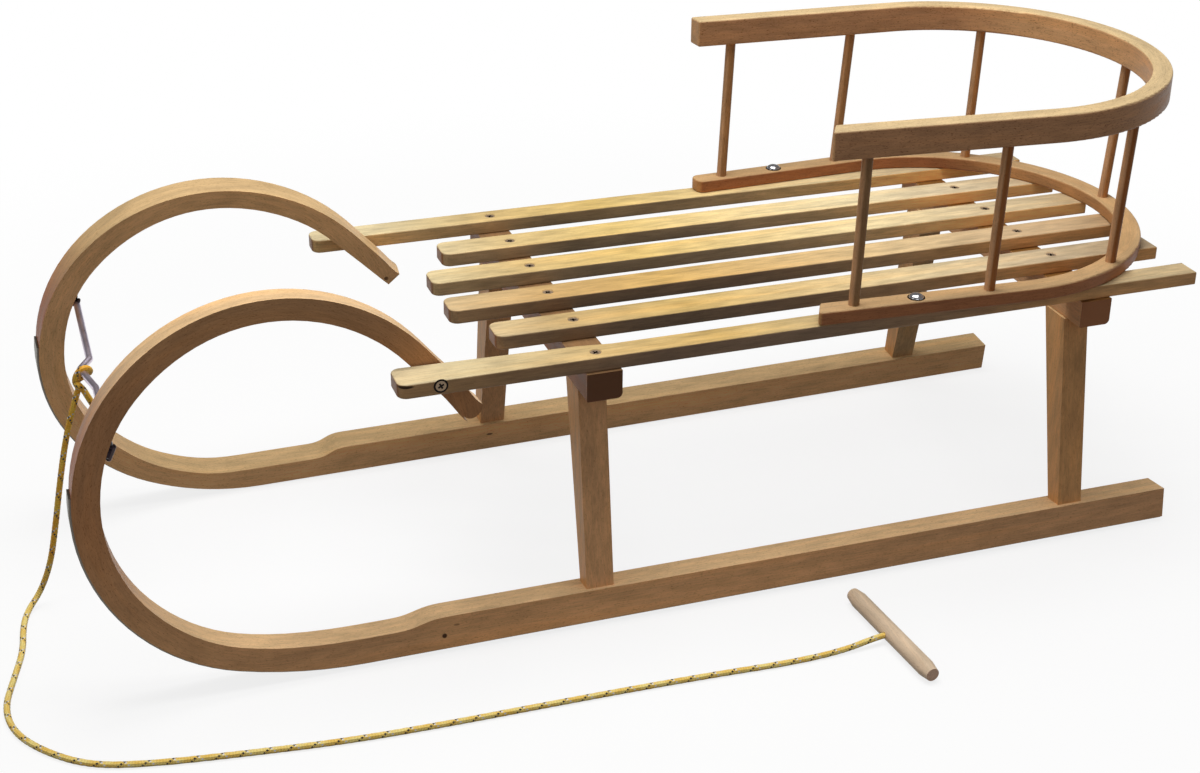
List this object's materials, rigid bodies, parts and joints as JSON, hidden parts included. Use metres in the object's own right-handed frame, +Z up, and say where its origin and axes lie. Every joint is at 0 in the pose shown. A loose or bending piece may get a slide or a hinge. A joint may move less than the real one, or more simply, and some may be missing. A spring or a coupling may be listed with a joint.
{
  "type": "wooden horn sled",
  "caption": "Bent wood sled with curled horns, slatted seat, low hoop backrest on round spindles, steel tow bracket and a pull cord with a wooden grip.",
  "frame": {"origin": "on the floor under the middle of the overall length and width, the free cord left out", "axes": "+X forward, towards the horns; +Y the sled's left; +Z up"},
  "size_m": [1.2035, 0.5974, 0.464],
  "materials": {
    "seat_wood": "clear lacquer, satin",
    "frame_wood": "clear lacquer, satin",
    "back_wood": "clear lacquer, satin",
    "steel": "zinc plated, dull",
    "cord": "braided, yellow with dark flecks",
    "grip_wood": "bare, sanded"
  },
  "bodies": {
    "root": {"crossbar_front": "seat_wood", "crossbar_rear": "seat_wood", "slat_1": "seat_wood", "slat_2": "seat_wood", "slat_3": "seat_wood", "slat_4": "seat_wood", "slat_5": "seat_wood", "slat_6": "seat_wood", "runner_left": "frame_wood", "runner_right": "frame_wood", "leg_front_left": "frame_wood", "leg_front_right": "frame_wood", "leg_rear_left": "frame_wood", "leg_rear_right": "frame_wood", "back_hoop_lower": "back_wood", "back_hoop_upper": "back_wood", "spindle_1": "back_wood", "spindle_2": "back_wood", "spindle_3": "back_wood", "spindle_4": "back_wood", "spindle_5": "back_wood", "spindle_6": "back_wood", "spindle_7": "back_wood", "runner_strip_left": "steel", "runner_strip_right": "steel", "tow_bracket": "steel", "tow_cord": "cord", "cord_knot": "cord", "tow_toggle": "grip_wood"}
  },
  "joints": []
}
